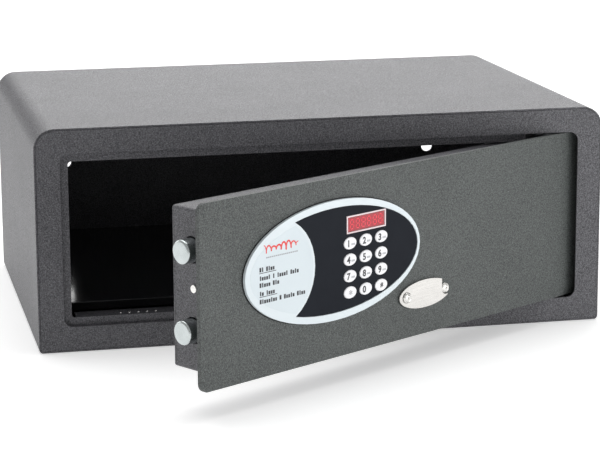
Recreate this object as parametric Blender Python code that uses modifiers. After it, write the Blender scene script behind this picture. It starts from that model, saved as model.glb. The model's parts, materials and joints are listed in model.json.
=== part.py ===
"""An in-room safe: a sheet-steel cabinet and a door with a keypad, two driven bolts and a key override.

Metres, +Z up. The origin is the centre of the base, the front faces -Y, and the door stands ajar.
"""

import math

import bmesh
import bpy
from mathutils import Matrix, Vector

# Driving dimensions
WIDTH, DEPTH, HEIGHT = 0.518, 0.355, 0.200
SHEET = 0.0015
BORDER = 0.0226
REST_ANGLE = math.radians(32.0)
GAP = 0.0003

# Cabinet
TOP_RADIUS, BOTTOM_RADIUS, OPENING_RADIUS = 0.018, 0.0035, 0.008
FRAME_THICKNESS = 0.002
REAR_THICKNESS = 0.002
WRAP_SETBACK = 0.0004
STOP_DEPTH, STOP_LIP = 0.005, 0.0074
STOP_END = 0.447
STOP_FLANGE = 0.0185
WALL_HOLE_RADIUS, WALL_HOLE_SPACING, WALL_HOLE_HEIGHT = 0.006, 0.385, 0.105
TRAY_TOP, TRAY_FRONT, TRAY_LIP, TRAY_SHEET = 0.0338, 0.0443, 0.0072, 0.0012

# Hinge, as distances from the cabinet's left side and from its front face
AXIS_FROM_LEFT, AXIS_FROM_FRONT = 0.4725, 0.022
PIN_RADIUS, PIN_HEAD_RADIUS, PIN_HEAD = 0.004, 0.006, 0.003
BUSH_RADIUS, BUSH_FLANGE_RADIUS, BUSH_FLANGE = 0.0055, 0.0075, 0.0015
BRACKET_WIDTH, BRACKET_THICKNESS, BRACKET_FLANGE = 0.030, 0.003, 0.0155
LUG_WIDTH, LUG_THICKNESS, LUG_FLANGE = 0.023, 0.003, 0.020

# Door, as distances from the plate's free edge and from its front face
PLATE_THICKNESS, PLATE_RADIUS = 0.004, 0.0075
FREE_GAP, HINGE_GAP, TOP_GAP = 0.0012, 0.0026, 0.001
BOX_LEFT, BOX_RIGHT, BOX_BOTTOM, BOX_TOP = 0.0105, 0.431, 0.0364, 0.1686
BOX_DEPTH, BOX_RIM, BOX_RADIUS = 0.0366, 0.010, 0.0025
COVER_THICKNESS = 0.0015
# The screw in the box's side: its depth in the door and its height
SIDE_SCREW = (0.0173, 0.1045)

# Bolts and their drive
BOLT_RADIUS, BOLT_LENGTH, BOLT_REACH, BOLT_DEPTH = 0.010, 0.062, 0.002, 0.020
BOLT_MIDDLE, BOLT_SPACING = 0.1028, 0.0656
BOLT_TRAVEL = 0.012
MODULE, PRESSURE_ANGLE = 0.001, math.radians(25)
ADDENDUM, DEDENDUM, BACKLASH = 0.85, 1.15, 0.00015
GEAR_TEETH, PINION_TEETH = 24, 16
GEAR_ACROSS, GEAR_DEPTH, GEAR_THICKNESS = 0.100, 0.016, 0.004
PINION_DIRECTION = math.radians(-45)

# Keypad
KEYPAD_ACROSS, KEYPAD_HEIGHT = 0.1482, 0.1075
BEZEL_HALF = (0.1025, 0.0508)
PANEL_HALF = (0.0995, 0.0443)
LEAF_ACROSS, LEAF_RADIUS = 0.0787, 0.04585
BEZEL_PROUD, PANEL_PROUD = 0.0030, 0.0024
LABEL_MARGIN, LABEL_THICKNESS = 0.0025, 0.0004
ARC_STEPS = 12
KEY_HALF = (0.00735, 0.00515)
KEY_ACROSS, KEY_TOP_ROW = 0.1842, 0.1194
KEY_PITCH_X, KEY_PITCH_Z = 0.0187, 0.0140
KEY_NAMES = (("1", "2", "3"), ("4", "5", "6"), ("7", "8", "9"), ("star", "0", "hash"))
DISPLAY_ACROSS, DISPLAY_HEIGHT = 0.1850, 0.1350
DISPLAY_SIZE, DISPLAY_RIM = (0.0468, 0.0150), 0.0013
CUTOUT = (0.155, 0.213, 0.0700, 0.1460)

# Key override
COVER_ACROSS, COVER_HEIGHT, COVER_HALF = 0.2591, 0.0600, (0.0325, 0.0123)
PIVOT_ACROSS, TIP_ACROSS = 0.2355, 0.2857
LOCK_ACROSS, LOCK_RADIUS, LOCK_LENGTH, PLUG_RADIUS = 0.2600, 0.0090, 0.025, 0.0055

# Battery compartment and reset button on the inner side of the door
BATTERY_ACROSS, BATTERY_HEIGHT = 0.364, 0.101
BATTERY_RADIUS, BATTERY_LENGTH, BATTERY_PITCH = 0.0071, 0.0505, 0.0140
POCKET_HALF = (BATTERY_LENGTH / 2 + 0.0035, 1.5 * BATTERY_PITCH + BATTERY_RADIUS + 0.0024)
RESET_ACROSS, RESET_HEIGHT = 0.300, 0.1200

FRONT, LEFT = -DEPTH / 2, -WIDTH / 2
AXIS = Vector((LEFT + AXIS_FROM_LEFT, FRONT + AXIS_FROM_FRONT, 0))
PLATE_LEFT = LEFT + BORDER + FREE_GAP
PLATE_WIDTH = WIDTH - 2 * BORDER - FREE_GAP - HINGE_GAP
PLATE_HEIGHT = HEIGHT - 2 * BORDER - 2 * TOP_GAP
BOX_FRONT = PLATE_THICKNESS + GAP
BOX_REAR = BOX_FRONT + BOX_DEPTH
COVER_REAR = BOX_REAR + GAP + COVER_THICKNESS


# The scene, its collections and its materials

for old in list(bpy.data.objects):
    bpy.data.objects.remove(old)

PARTS = bpy.data.collections.new("in_room_safe")
CUTTERS = bpy.data.collections.new("cutters")
bpy.context.scene.collection.children.link(PARTS)
bpy.context.scene.collection.children.link(CUTTERS)
CUTTERS.hide_render = True


def material(name, colour, roughness, metallic=0.0):
    made = bpy.data.materials.new(name)
    made.use_nodes = True
    shader = made.node_tree.nodes["Principled BSDF"]
    shader.inputs["Base Color"].default_value = (*colour, 1)
    shader.inputs["Roughness"].default_value = roughness
    shader.inputs["Metallic"].default_value = metallic
    return made


CABINET_PAINT = material("cabinet_paint", (0.075, 0.075, 0.082), 0.55)
DOOR_PAINT = material("door_paint", (0.095, 0.105, 0.095), 0.50)
INNER_PAINT = material("inner_paint", (0.020, 0.020, 0.022), 0.30)
BRIGHT_STEEL = material("bright_steel", (0.80, 0.80, 0.78), 0.18, 1.0)
ZINC = material("zinc_plate", (0.55, 0.56, 0.58), 0.40, 1.0)
BRASS = material("brass", (0.75, 0.56, 0.26), 0.30, 1.0)
SILVER_PLASTIC = material("silver_plastic", (0.72, 0.77, 0.82), 0.35)
WHITE_PLASTIC = material("white_plastic", (0.85, 0.85, 0.86), 0.40)
PANEL_FILM = material("panel_film", (0.018, 0.021, 0.028), 0.30)
BLACK_PLASTIC = material("black_plastic", (0.020, 0.020, 0.022), 0.45)
RED_LENS = material("red_lens", (0.45, 0.010, 0.020), 0.15)
RED_PLASTIC = material("red_plastic", (0.55, 0.02, 0.02), 0.40)
BOARD_GREEN = material("board_green", (0.02, 0.16, 0.06), 0.45)
NYLON = material("nylon", (0.82, 0.80, 0.74), 0.45)
BATTERY_SLEEVE = material("battery_sleeve", (0.05, 0.08, 0.22), 0.35)


# Shapes: each function gives a mesh in the piece's own space

def mesh_of(bm, name="shape"):
    bmesh.ops.recalc_face_normals(bm, faces=bm.faces)
    mesh = bpy.data.meshes.new(name)
    bm.to_mesh(mesh)
    bm.free()
    return mesh


def block(size, centre=(0, 0, 0)):
    bm = bmesh.new()
    place = Matrix.Translation(centre) @ Matrix.Diagonal((*size, 1))
    bmesh.ops.create_cube(bm, size=1, matrix=place)
    return mesh_of(bm)


TURN_TO = {
    "X": Matrix.Rotation(math.pi / 2, 4, "Y"),
    "Y": Matrix.Rotation(-math.pi / 2, 4, "X"),
    "Z": Matrix.Identity(4),
}


def rod(radius, start, end, axis="Y", steps=24, offset=(0, 0, 0)):
    """A cylinder from start to end along an axis through offset."""
    bm = bmesh.new()
    shift = Matrix.Translation((0, 0, (start + end) / 2))
    bmesh.ops.create_cone(
        bm, cap_ends=True, segments=steps, radius1=radius, radius2=radius, depth=end - start, matrix=shift
    )
    bmesh.ops.transform(bm, matrix=Matrix.Translation(offset) @ TURN_TO[axis], verts=bm.verts)
    return mesh_of(bm)


def slab(outlines, thickness, depth=0.0):
    """A flat plate facing -Y: outlines are closed (x, z) loops, the outer one first.
    It is drawn in millimetres, since a curve's filling loses very small triangles."""
    curve = bpy.data.curves.new("outline", "CURVE")
    curve.dimensions, curve.fill_mode, curve.extrude = "2D", "BOTH", thickness * 500
    for points in outlines:
        spline = curve.splines.new("POLY")
        spline.points.add(len(points) - 1)
        for point, (x, z) in zip(spline.points, points):
            point.co = (x * 1000, z * 1000, 0, 1)
        spline.use_cyclic_u = True
    drawn = bpy.data.objects.new("outline", curve)
    CUTTERS.objects.link(drawn)
    bpy.context.view_layer.update()
    graph = bpy.context.evaluated_depsgraph_get()
    mesh = bpy.data.meshes.new_from_object(drawn.evaluated_get(graph))
    bpy.data.objects.remove(drawn)
    bm = bmesh.new()
    bm.from_mesh(mesh)
    bmesh.ops.remove_doubles(bm, verts=bm.verts, dist=1e-4)
    upright = Matrix.Rotation(math.pi / 2, 4, "X")
    stand = Matrix.Translation((0, depth, 0)) @ upright @ Matrix.Scale(0.001, 4)
    bmesh.ops.transform(bm, matrix=stand, verts=bm.verts)
    return mesh_of(bm)


def rectangle(left, right, bottom, top, radii=(0, 0, 0, 0), steps=6):
    """A rectangle with round corners; the radii run bottom left, bottom right, top right, top left."""
    corners = ((left, bottom, 180), (right, bottom, 270), (right, top, 0), (left, top, 90))
    inward = ((1, 1), (-1, 1), (-1, -1), (1, -1))
    points = []
    for (x, z, start), (across, up), radius in zip(corners, inward, radii):
        if radius == 0:
            points.append((x, z))
            continue
        for step in range(steps + 1):
            angle = math.radians(start + 90 * step / steps)
            points.append(
                (x + across * radius + radius * math.cos(angle), z + up * radius + radius * math.sin(angle))
            )
    return points


def oval(half, centre=(0, 0), steps=32):
    angles = (2 * math.pi * step / steps for step in range(steps))
    return [(centre[0] + half[0] * math.cos(a), centre[1] + half[1] * math.sin(a)) for a in angles]


# Placing: a piece goes in the collection, takes its material, and may ride on an empty

def piece(name, mesh, paint, place=(0, 0, 0), parent=None):
    made = bpy.data.objects.new(name, mesh)
    made.location = place
    made.parent = parent
    PARTS.objects.link(made)
    mesh.name = name
    mesh.materials.append(paint)
    return made


def combine(target, meshes, operation):
    """Booleans that join these meshes to the target, or cut them from it, in its own space."""
    for number, mesh in enumerate(meshes):
        helper = bpy.data.objects.new(f"{target.name}_{operation.lower()}_{number}", mesh)
        helper.parent = target
        helper.hide_render = True
        helper.display_type = "WIRE"
        CUTTERS.objects.link(helper)
        modifier = target.modifiers.new(helper.name, "BOOLEAN")
        modifier.operation = operation
        modifier.solver = "EXACT"
        modifier.object = helper
    return target


def join(target, *meshes):
    return combine(target, meshes, "UNION")


def cut(target, *meshes):
    return combine(target, meshes, "DIFFERENCE")


def group(meshes):
    """One mesh of several closed shapes that don't meet."""
    bm = bmesh.new()
    for mesh in meshes:
        bm.from_mesh(mesh)
        bpy.data.meshes.remove(mesh)
    return mesh_of(bm)


def round_edges(target, width, segments=2):
    modifier = target.modifiers.new("round_edges", "BEVEL")
    modifier.width, modifier.segments = width, segments
    modifier.limit_method, modifier.angle_limit = "ANGLE", math.radians(50)
    return target


def smooth(target, angle=35):
    target.data.shade_smooth()
    target.data.set_sharp_from_angle(angle=math.radians(angle))
    return target


# The cabinet

def inside(margin):
    """The cabinet's outline, moved in by a margin."""
    radii = (BOTTOM_RADIUS, BOTTOM_RADIUS, TOP_RADIUS, TOP_RADIUS)
    radii = [max(radius - margin, 0.0008) for radius in radii]
    return rectangle(LEFT + margin, -LEFT - margin, margin, HEIGHT - margin, radii, 8)


def opening(margin, radius):
    """The door opening's outline, moved in by a margin; a negative margin makes it larger."""
    edge = BORDER + margin
    return rectangle(LEFT + edge, -LEFT - edge, edge, HEIGHT - edge, (radius,) * 4, 5)


def make_casing():
    length = DEPTH - WRAP_SETBACK
    shell = slab((inside(0), inside(SHEET)), length, WRAP_SETBACK / 2)
    return smooth(piece("casing", shell, CABINET_PAINT))


def make_rear_panel():
    margin = SHEET + GAP
    holes = [
        oval((WALL_HOLE_RADIUS,) * 2, (side * WALL_HOLE_SPACING / 2, WALL_HOLE_HEIGHT), 24)
        for side in (-1, 1)
    ]
    panel = slab((inside(margin), *holes), REAR_THICKNESS, -FRONT - REAR_THICKNESS / 2)
    return piece("rear_panel", panel, CABINET_PAINT)


def make_front_frame():
    outlines = (inside(SHEET + GAP), opening(0, OPENING_RADIUS))
    frame = slab(outlines, FRAME_THICKNESS, FRONT + FRAME_THICKNESS / 2)
    return smooth(round_edges(piece("front_frame", frame, CABINET_PAINT), 0.0007))


def make_door_stop():
    back = FRONT + FRAME_THICKNESS + GAP
    lip_middle = FRONT + STOP_DEPTH + SHEET / 2
    step_outer, step_inner = -0.0018, -0.0003
    step_depth = FRONT + STOP_DEPTH + SHEET - back
    lip = slab(
        (opening(step_outer, OPENING_RADIUS + 0.0018), opening(STOP_LIP, 0.003)), SHEET, lip_middle
    )
    step = slab(
        (opening(step_outer, OPENING_RADIUS + 0.0018), opening(step_inner, OPENING_RADIUS + 0.0003)),
        step_depth,
        back + step_depth / 2,
    )
    flange_top = BORDER + STOP_LIP
    flange_left = LEFT + BORDER + STOP_LIP + 0.004
    flange_right = LEFT + STOP_END + 0.010
    flange = block(
        (flange_right - flange_left, STOP_FLANGE, SHEET),
        (
            (flange_left + flange_right) / 2,
            FRONT + STOP_DEPTH + STOP_FLANGE / 2 + SHEET / 2,
            flange_top - SHEET / 2 - 0.0001,
        ),
    )
    stop = piece("door_stop", lip, CABINET_PAINT)
    join(stop, step, flange)
    hinge_side = WIDTH - STOP_END
    cut(stop, block((hinge_side, 0.06, HEIGHT), (-LEFT - hinge_side / 2, FRONT, HEIGHT / 2)))
    return stop


def make_floor_tray():
    margin = BOTTOM_RADIUS
    front, rear = FRONT + TRAY_FRONT, -FRONT - REAR_THICKNESS - GAP
    width, length = WIDTH - 2 * margin, rear - front
    middle = (front + rear) / 2
    base = SHEET + GAP
    leg = TRAY_TOP - base
    top = block((width, length, TRAY_SHEET), (0, middle, TRAY_TOP - TRAY_SHEET / 2))
    tray = piece("floor_tray", top, INNER_PAINT)
    lip = block((width, TRAY_SHEET, TRAY_LIP), (0, front + TRAY_SHEET / 2, TRAY_TOP - TRAY_LIP / 2))
    sides = [
        block((TRAY_SHEET, length, leg), (side * (width - TRAY_SHEET) / 2, middle, base + leg / 2))
        for side in (-1, 1)
    ]
    return join(tray, lip, *sides)


def make_hinge(end):
    """The cabinet's bracket and pin at the top (end 1) or the bottom (end -1) of the opening."""
    word = "upper" if end > 0 else "lower"
    edge = HEIGHT - BORDER if end > 0 else BORDER
    near = edge + end * 0.0006
    reach = AXIS_FROM_FRONT + 0.009
    front = FRAME_THICKNESS + GAP
    shelf = block(
        (BRACKET_WIDTH, reach - front, BRACKET_THICKNESS),
        (0, (reach + front) / 2 - AXIS_FROM_FRONT, near + end * BRACKET_THICKNESS / 2),
    )
    bracket = piece(f"hinge_bracket_{word}", shelf, ZINC, AXIS)
    upright = block(
        (BRACKET_WIDTH, BRACKET_THICKNESS, BRACKET_FLANGE),
        (0, front + BRACKET_THICKNESS / 2 - AXIS_FROM_FRONT, near + end * BRACKET_FLANGE / 2),
    )
    join(bracket, upright)
    low, high = sorted((near - end * 0.010, near + end * 0.010))
    cut(bracket, rod(PIN_RADIUS + GAP, low, high, "Z"))
    tip = edge - end * 0.0065
    head = near + end * (BRACKET_THICKNESS + GAP)
    shank = rod(PIN_RADIUS, *sorted((tip, head + end * 0.001)), "Z")
    pin = piece(f"hinge_pin_{word}", shank, BRIGHT_STEEL, AXIS)
    join(pin, rod(PIN_HEAD_RADIUS, *sorted((head, head + end * PIN_HEAD)), "Z"))
    smooth(pin)


# The door, built closed: its empty on the hinge axis turns it to where it stands

def in_door(across, depth, height):
    """A place in the door, from its free edge, front face and base, as seen from the axis."""
    return Vector((PLATE_LEFT + across, FRONT + depth, height)) - AXIS


DOOR = bpy.data.objects.new("door_hinge_axis", None)
DOOR.location = AXIS
DOOR.rotation_euler = (0, 0, REST_ANGLE)
PARTS.objects.link(DOOR)


def door_piece(name, mesh, paint, across, depth, height):
    return piece(name, mesh, paint, in_door(across, depth, height), DOOR)


def door_slab(name, outlines, thickness, depth, paint):
    """A plate of the door whose outlines are given from the free edge and the base."""
    return door_piece(name, slab(outlines, thickness), paint, 0, depth + thickness / 2, 0)


def cutout():
    left, right, bottom, top = CUTOUT
    return rectangle(left, right, bottom, top, (0.002,) * 4, 2)


def make_door_plate():
    bottom = BORDER + TOP_GAP
    outlines = (
        rectangle(0, PLATE_WIDTH, bottom, bottom + PLATE_HEIGHT, (PLATE_RADIUS,) * 4, 6),
        cutout(),
        oval((LOCK_RADIUS + GAP,) * 2, (LOCK_ACROSS, COVER_HEIGHT)),
        oval((0.0026,) * 2, (PIVOT_ACROSS, COVER_HEIGHT), 12),
        oval((0.0026,) * 2, (TIP_ACROSS, COVER_HEIGHT), 12),
    )
    plate = door_slab("door_plate", outlines, PLATE_THICKNESS, 0, DOOR_PAINT)
    return smooth(round_edges(plate, 0.0008))


def screw_places():
    middle, half = (BOX_LEFT + BOX_RIGHT) / 2, (BOX_RIGHT - BOX_LEFT) / 2 - 0.0058
    low, high = BOX_BOTTOM + 0.0058, BOX_TOP - 0.0058
    return [(middle + side * half, height) for side in (-1, 0, 1) for height in (low, high)]


def bolt_heights():
    return BOLT_MIDDLE + BOLT_SPACING / 2, BOLT_MIDDLE - BOLT_SPACING / 2


def box_outline(margin, radius, steps=3):
    left, right = BOX_LEFT + margin, BOX_RIGHT - margin
    return rectangle(left, right, BOX_BOTTOM + margin, BOX_TOP - margin, (radius,) * 4, steps)


def make_door_box():
    """A box open towards the plate, with a rim at the rear that its cover is screwed to."""
    outer = box_outline(0, BOX_RADIUS)
    inner = box_outline(SHEET, BOX_RADIUS - SHEET, 2)
    rim_hole = box_outline(BOX_RIM, 0.003, 2)
    box = door_slab("door_box", (outer,), BOX_DEPTH, BOX_FRONT, CABINET_PAINT)
    half = BOX_DEPTH / 2
    bolt_depth = BOLT_DEPTH - BOX_FRONT - half
    screws = [rod(0.0018, half - 0.004, half + 0.004, "Y", 12, (x, 0, z)) for x, z in screw_places()]
    holes = [
        rod(BOLT_RADIUS + 0.001, BOX_LEFT - 0.003, BOX_LEFT + 0.003, "X", 32, (0, bolt_depth, z))
        for z in bolt_heights()
    ]
    depth, height = SIDE_SCREW
    side = rod(0.0022, BOX_LEFT - 0.003, BOX_LEFT + 0.003, "X", 12, (0, depth - BOX_FRONT - half, height))
    cut(box, slab((inner,), BOX_DEPTH, -SHEET), slab((rim_hole,), 0.02, half))
    return cut(box, group(screws), group(holes), side)


def make_side_screw():
    head = rod(0.0034, -GAP - 0.0016, -GAP, "X", 16)
    screw = door_piece("side_screw", head, BRIGHT_STEEL, BOX_LEFT, *SIDE_SCREW)
    return smooth(join(screw, rod(0.0019, -GAP - 0.0008, 0.007, "X", 12)))


def make_rear_cover():
    half_x, half_z = POCKET_HALF
    outlines = (
        box_outline(0, BOX_RADIUS),
        rectangle(
            BATTERY_ACROSS - half_x,
            BATTERY_ACROSS + half_x,
            BATTERY_HEIGHT - half_z,
            BATTERY_HEIGHT + half_z,
        ),
        oval((0.0044,) * 2, (RESET_ACROSS, RESET_HEIGHT), 20),
        *(oval((0.0018,) * 2, place, 12) for place in screw_places()),
    )
    return door_slab("rear_cover", outlines, COVER_THICKNESS, BOX_REAR + GAP, CABINET_PAINT)


def make_door_hinge(end):
    """The door's lug at the top (end 1) or the bottom (end -1) of the plate."""
    word = "upper" if end > 0 else "lower"
    edge = HEIGHT - BORDER if end > 0 else BORDER
    face = edge - end * 0.0018
    near, far = PLATE_THICKNESS + GAP - AXIS_FROM_FRONT, 0.008
    tab = block(
        (LUG_WIDTH, far - near, LUG_THICKNESS), (0, (near + far) / 2, face - end * LUG_THICKNESS / 2)
    )
    lug = piece(f"hinge_lug_{word}", tab, ZINC, parent=DOOR)
    upright = block(
        (LUG_WIDTH, LUG_THICKNESS, LUG_FLANGE), (0, near + LUG_THICKNESS / 2, face - end * LUG_FLANGE / 2)
    )
    join(lug, upright)
    cut(lug, rod(BUSH_RADIUS + GAP, *sorted((face - end * 0.01, face + end * 0.01)), "Z"))


def make_hinge_bush(end):
    """A flanged nylon sleeve in the lug's hole; its flange bears on the cabinet's bracket."""
    word = "upper" if end > 0 else "lower"
    edge = HEIGHT - BORDER if end > 0 else BORDER
    face = edge - end * 0.0018
    flange = face + end * GAP
    sleeve = rod(BUSH_RADIUS, *sorted((face - end * LUG_THICKNESS, flange + end * 0.001)), "Z")
    bush = piece(f"hinge_bush_{word}", sleeve, NYLON, parent=DOOR)
    join(bush, rod(BUSH_FLANGE_RADIUS, *sorted((flange, flange + end * BUSH_FLANGE)), "Z"))
    smooth(cut(bush, rod(PIN_RADIUS + 0.0001, *sorted((face - end * 0.01, face + end * 0.01)), "Z", 48)))


# The bolts and what drives them

def make_bolt_guide():
    across, thickness = 0.036, 0.002
    reach = BOLT_DEPTH + BOLT_RADIUS + 0.004
    low, high = BOLT_MIDDLE - 0.050, BOLT_MIDDLE + 0.050
    front = BOX_FRONT
    web = block((thickness, reach - front, high - low), (0, (reach + front) / 2, (low + high) / 2))
    guide = door_piece("bolt_guide", web, ZINC, across, 0, 0)
    join(guide, block((0.014, thickness, high - low), (0.006, front + thickness / 2, (low + high) / 2)))
    holes = [rod(BOLT_RADIUS + GAP, -0.005, 0.005, "X", 32, (0, BOLT_DEPTH, z)) for z in bolt_heights()]
    return cut(guide, *holes)


SLIDE = bpy.data.objects.new("bolt_slide_axis", None)
SLIDE.parent = DOOR
SLIDE.location = in_door(-BOLT_REACH, BOLT_DEPTH, BOLT_MIDDLE)
PARTS.objects.link(SLIDE)
CARRIER = BOLT_LENGTH + GAP
CARRIER_THICKNESS = 0.003


def make_bolts():
    """The bolts ride on the slide's empty, which stands at their tips, halfway between them."""
    for word, side in (("upper", 1), ("lower", -1)):
        height = side * BOLT_SPACING / 2
        bar = rod(BOLT_RADIUS, 0, BOLT_LENGTH, "X", 32)
        bolt = piece(f"bolt_{word}", bar, BRIGHT_STEEL, (0, 0, height), SLIDE)
        cut(bolt, rod(0.0028, BOLT_LENGTH - 0.012, BOLT_LENGTH + 0.002, "X", 12))
        smooth(round_edges(bolt, 0.0009))


def make_bolt_screw(word, side):
    """A hexagon-head screw through the carrier into the end of one bolt."""
    start = CARRIER + CARRIER_THICKNESS + GAP
    place = (0, 0, side * BOLT_SPACING / 2)
    screw = piece(f"bolt_screw_{word}", rod(0.0045, start, start + 0.003, "X", 6), ZINC, place, SLIDE)
    join(screw, rod(0.0024, start - 0.014, start + 0.001, "X", 12))


def rack_teeth(depth):
    """Straight-sided teeth under the carrier's arm: a gap between two of them stands over the gear."""
    pitch = math.pi * MODULE
    gear = GEAR_ACROSS + BOLT_REACH
    tip, root, buried = -ADDENDUM * MODULE, DEDENDUM * MODULE, 0.0006
    slope = math.tan(PRESSURE_ANGLE)
    half = pitch / 4 - BACKLASH
    teeth = []
    for tooth in range(-6, 2):
        middle = gear + pitch * (tooth + 0.5)
        at_root, at_tip = half + root * slope, half + tip * slope
        outline = [
            (middle - at_tip, tip),
            (middle + at_tip, tip),
            (middle + at_root, root),
            (middle + at_root, root + buried),
            (middle - at_root, root + buried),
            (middle - at_root, root),
        ]
        teeth.append(slab((outline,), GEAR_THICKNESS - 0.0002, depth))
    return group(teeth)


GUIDE_ACROSS, GUIDE_HEIGHT, GUIDE_RADIUS = 0.118, 0.0082, 0.0025


def make_bolt_carrier():
    """The plate behind the bolts, with the gear's rack arm and the guide post's slot."""
    height = BOLT_SPACING + 2 * BOLT_RADIUS + 0.002
    web = block((CARRIER_THICKNESS, 0.016, height), (CARRIER + CARRIER_THICKNESS / 2, 0, 0))
    carrier = piece("bolt_carrier", web, ZINC, parent=SLIDE)
    arm_depth = GEAR_DEPTH - BOLT_DEPTH
    post = GUIDE_ACROSS + BOLT_REACH
    radius = GUIDE_RADIUS + 0.0003
    slot = rectangle(
        post - BOLT_TRAVEL - radius - GAP,
        post + radius + GAP,
        GUIDE_HEIGHT - radius,
        GUIDE_HEIGHT + radius,
        (radius * 0.98,) * 4,
        3,
    )
    arm = rectangle(CARRIER + 0.001, post + 0.008, DEDENDUM * MODULE, 0.0130)
    join(carrier, slab((arm, slot), GEAR_THICKNESS, arm_depth), rack_teeth(arm_depth))
    bores = [
        rod(0.0028, CARRIER - 0.002, CARRIER + 0.006, "X", 12, (0, 0, side * BOLT_SPACING / 2))
        for side in (-1, 1)
    ]
    return cut(carrier, *bores)


def involute(angle):
    return math.tan(angle) - angle


def gear_outline(teeth, first):
    """Involute teeth; first is the angle of one tooth's middle."""
    pitch_radius = teeth * MODULE / 2
    base = pitch_radius * math.cos(PRESSURE_ANGLE)
    root, tip = pitch_radius - DEDENDUM * MODULE, pitch_radius + ADDENDUM * MODULE
    half = (math.pi * MODULE / 4 - BACKLASH) / pitch_radius + involute(PRESSURE_ANGLE)
    start = max(base, root)
    flank = [(root, half)] if base > root else []
    for step in range(4):
        radius = start + (tip - start) * step / 3
        flank.append((radius, half - involute(math.acos(base / radius))))
    points = []
    for tooth in range(teeth):
        middle = first + 2 * math.pi * tooth / teeth
        for radius, away in flank:
            points.append((radius * math.cos(middle - away), radius * math.sin(middle - away)))
        for radius, away in reversed(flank):
            points.append((radius * math.cos(middle + away), radius * math.sin(middle + away)))
    return points


GEAR_HEIGHT = BOLT_MIDDLE - GEAR_TEETH * MODULE / 2
CENTRES = (GEAR_TEETH + PINION_TEETH) * MODULE / 2
PINION_ACROSS = GEAR_ACROSS + CENTRES * math.cos(PINION_DIRECTION)
PINION_HEIGHT = GEAR_HEIGHT + CENTRES * math.sin(PINION_DIRECTION)
BRACKET_FRONT, MOTOR_SHEET = GEAR_DEPTH + GEAR_THICKNESS / 2 + 0.001, 0.0015
POST_RADIUS = 0.002


def make_drive_gear():
    teeth = gear_outline(GEAR_TEETH, math.pi / 2)
    wheel = slab((teeth, oval((POST_RADIUS + 0.00015,) * 2, steps=24)), GEAR_THICKNESS)
    return door_piece("drive_gear", wheel, BRASS, GEAR_ACROSS, GEAR_DEPTH, GEAR_HEIGHT)


def make_motor_pinion():
    """A gap of the pinion faces the gear tooth on the line between their centres."""
    first = PINION_DIRECTION + math.pi + math.pi / PINION_TEETH
    wheel = slab((gear_outline(PINION_TEETH, first),), GEAR_THICKNESS)
    pinion = door_piece("motor_pinion", wheel, BRASS, PINION_ACROSS, GEAR_DEPTH, PINION_HEIGHT)
    return join(pinion, rod(0.0015, 0, GEAR_THICKNESS / 2 + 0.0065, "Y", 16))


def make_motor_bracket():
    """A plate behind the gears, standing on the box's lower wall."""
    foot = BOX_BOTTOM + SHEET + GAP
    left, right, top = 0.084, 0.130, BOLT_MIDDLE + 0.0135
    outlines = (
        rectangle(left, right, foot, top),
        oval((POST_RADIUS + 0.0002,) * 2, (GEAR_ACROSS, GEAR_HEIGHT), 16),
        oval((GUIDE_RADIUS + 0.0002,) * 2, (GUIDE_ACROSS, BOLT_MIDDLE + GUIDE_HEIGHT), 16),
        oval((0.0036,) * 2, (PINION_ACROSS, PINION_HEIGHT), 16),
    )
    bracket = door_slab("motor_bracket", outlines, MOTOR_SHEET, BRACKET_FRONT, ZINC)
    length = 0.014
    middle = ((left + right) / 2, length / 2 - 0.0002, foot + MOTOR_SHEET / 2)
    base = block((right - left, length, MOTOR_SHEET), middle)
    return join(bracket, base)


def make_lock_motor():
    start = MOTOR_SHEET + GAP
    can = rod(0.012, start, start + 0.0155, "Y", 28)
    motor = door_piece("lock_motor", can, ZINC, PINION_ACROSS, BRACKET_FRONT, PINION_HEIGHT)
    join(motor, rod(0.0032, 0.0003, start + 0.001, "Y", 16))
    return smooth(cut(motor, rod(0.0018, -0.002, start + 0.0045, "Y", 16)))


def make_post(name, across, height, radius):
    """A shouldered post through the motor bracket: a head in front and a riveted end behind."""
    front = GEAR_DEPTH - GEAR_THICKNESS / 2 - GAP
    back = BRACKET_FRONT + MOTOR_SHEET + GAP
    shank = rod(radius, front - 0.001, back + 0.001, "Y", 24)
    post = door_piece(name, shank, BRIGHT_STEEL, across, 0, height)
    head = rod(radius + 0.0015, front - 0.002, front, "Y", 24)
    join(post, head, rod(radius + 0.0012, back, back + 0.0015, "Y", 24))
    return smooth(post)


# The keypad

def pad_outline(margin, leaf):
    """An oval cut by a circle's arc: the dark panel on its right, or the leaf-shaped label on its left."""
    half_x, half_z = PANEL_HALF[0] - margin, PANEL_HALF[1] - margin
    centre = LEAF_ACROSS - KEYPAD_ACROSS
    radius = LEAF_RADIUS + (-margin if leaf else margin)

    def off_arc(angle):
        """How far the oval's point at this angle is from the arc."""
        return abs(math.hypot(half_x * math.cos(angle) - centre, half_z * math.sin(angle)) - radius)

    meet = min((math.pi * step / 2000 for step in range(1001, 2000)), key=off_arc)
    first, last, steps = (meet, 2 * math.pi - meet, 20) if leaf else (meet, -meet, 36)
    sweep = [first + (last - first) * step / steps for step in range(steps + 1)]
    points = [(half_x * math.cos(angle), half_z * math.sin(angle)) for angle in sweep]
    reach = math.atan2(half_z * math.sin(meet), half_x * math.cos(meet) - centre)
    arc = [reach * (2 * step / ARC_STEPS - 1) for step in range(1, ARC_STEPS)]
    points += [(centre + radius * math.cos(angle), radius * math.sin(angle)) for angle in arc]
    return [(KEYPAD_ACROSS + x, KEYPAD_HEIGHT + z) for x, z in points]


def make_keypad_bezel():
    outlines = (oval(BEZEL_HALF, (KEYPAD_ACROSS, KEYPAD_HEIGHT), 56), pad_outline(-0.0002, False))
    bezel = door_slab("keypad_bezel", outlines, BEZEL_PROUD - GAP, -BEZEL_PROUD, SILVER_PLASTIC)
    return smooth(round_edges(bezel, 0.0008))


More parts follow.
